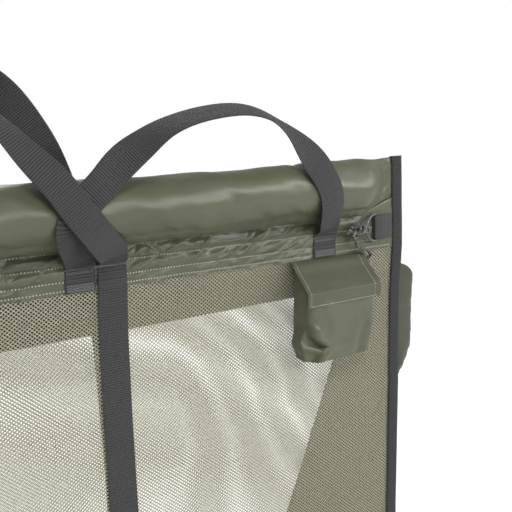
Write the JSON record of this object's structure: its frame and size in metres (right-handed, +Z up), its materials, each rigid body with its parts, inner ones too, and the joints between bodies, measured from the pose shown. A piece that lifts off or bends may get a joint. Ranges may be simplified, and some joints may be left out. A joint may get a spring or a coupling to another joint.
{
  "type": "weigh sling",
  "caption": "Long weigh sling for fish with two floating cloth rolls, mesh sides, folding end gussets, webbing handles, a flap pouch for its hoisting cord and end rings.",
  "frame": {"origin": "hook point under the crowns of the two long handles", "axes": "+X along the sling to its cord end, -Y out of the front side, +Z up"},
  "size_m": [1.4248, 0.2655, 0.7599],
  "materials": {
    "coated_cloth": "satin",
    "foam": "matte",
    "net_cord": "matte",
    "webbing": "matte",
    "binding_tape": "matte",
    "glass_rod": "satin",
    "ring_plastic": "satin",
    "braided_cord": "matte",
    "touch_tape": "matte"
  },
  "bodies": {
    "sling": {"front_sleeve": "coated_cloth", "front_float": "foam", "front_band": "coated_cloth", "front_pole": "glass_rod", "front_net": "net_cord", "front_left_binding": "binding_tape", "front_right_binding": "binding_tape", "back_sleeve": "coated_cloth", "back_float": "foam", "back_band": "coated_cloth", "back_pole": "glass_rod", "back_net": "net_cord", "back_left_binding": "binding_tape", "back_right_binding": "binding_tape", "front_left_inner_foot": "webbing", "front_left_outer_foot": "webbing", "front_right_inner_foot": "webbing", "front_right_outer_foot": "webbing", "back_left_inner_foot": "webbing", "back_left_outer_foot": "webbing", "back_right_inner_foot": "webbing", "back_right_outer_foot": "webbing", "bottom_binding": "binding_tape", "left_gusset": "coated_cloth", "right_gusset": "coated_cloth", "left_strap": "webbing", "right_strap": "webbing", "left_ring_tab": "webbing", "right_ring_tab": "webbing", "pouch": "coated_cloth", "loop_patch": "touch_tape", "cord_lead": "braided_cord", "cord_coil": "braided_cord"},
    "front_long_handle": {"front_long_handle": "webbing"},
    "back_long_handle": {"back_long_handle": "webbing"},
    "front_left_carry_handle": {"front_left_carry_handle": "webbing"},
    "front_right_carry_handle": {"front_right_carry_handle": "webbing"},
    "back_left_carry_handle": {"back_left_carry_handle": "webbing"},
    "back_right_carry_handle": {"back_right_carry_handle": "webbing"},
    "pouch_flap": {"pouch_flap": "coated_cloth", "hook_patch": "touch_tape"},
    "left_ring": {"left_ring": "ring_plastic"},
    "right_ring": {"right_ring": "ring_plastic", "cord_knot": "braided_cord"}
  },
  "joints": [
    {"name": "front_long_handle_swing", "type": "hinge", "parent": "sling", "child": "front_long_handle", "pos_m": [0, -0.0183, -0.256], "axis": [1, 0, 0], "range_deg": [0, 70]},
    {"name": "back_long_handle_swing", "type": "hinge", "parent": "sling", "child": "back_long_handle", "pos_m": [0, 0.0183, -0.318], "axis": [-1, 0, 0], "range_deg": [0, 40]},
    {"name": "front_right_carry_swing", "type": "hinge", "parent": "sling", "child": "front_right_carry_handle", "pos_m": [0.1805, -0.0183, -0.256], "axis": [0.9997, -0.0257, 0], "range_deg": [0, 70]},
    {"name": "front_left_carry_swing", "type": "hinge", "parent": "sling", "child": "front_left_carry_handle", "pos_m": [-0.1805, -0.0183, -0.256], "axis": [0.9997, 0.0257, 0], "range_deg": [0, 70]},
    {"name": "back_right_carry_swing", "type": "hinge", "parent": "sling", "child": "back_right_carry_handle", "pos_m": [0.1805, 0.0183, -0.318], "axis": [-0.9997, -0.0257, 0], "range_deg": [0, 28]},
    {"name": "back_left_carry_swing", "type": "hinge", "parent": "sling", "child": "back_left_carry_handle", "pos_m": [-0.1805, 0.0183, -0.318], "axis": [-0.9997, 0.0257, 0], "range_deg": [0, 28]},
    {"name": "pouch_flap_lift", "type": "hinge", "parent": "sling", "child": "pouch_flap", "pos_m": [0.534, -0.0243, -0.2865], "axis": [-1, 0, 0], "range_deg": [0, 36]},
    {"name": "right_ring_turn", "type": "hinge", "parent": "sling", "child": "right_ring", "pos_m": [0.62, -0.028, -0.253], "axis": [0, 0, 1], "range_deg": [0, 45]},
    {"name": "left_ring_turn", "type": "hinge", "parent": "sling", "child": "left_ring", "pos_m": [-0.62, -0.028, -0.253], "axis": [0, 0, -1], "range_deg": [-12, 70]}
  ],
  "couplings": [
    {"joint": "front_left_carry_swing", "follows": "front_long_handle_swing", "ratio": 1},
    {"joint": "front_right_carry_swing", "follows": "front_long_handle_swing", "ratio": 1},
    {"joint": "back_left_carry_swing", "follows": "back_long_handle_swing", "ratio": 0.7},
    {"joint": "back_right_carry_swing", "follows": "back_long_handle_swing", "ratio": 0.7}
  ]
}
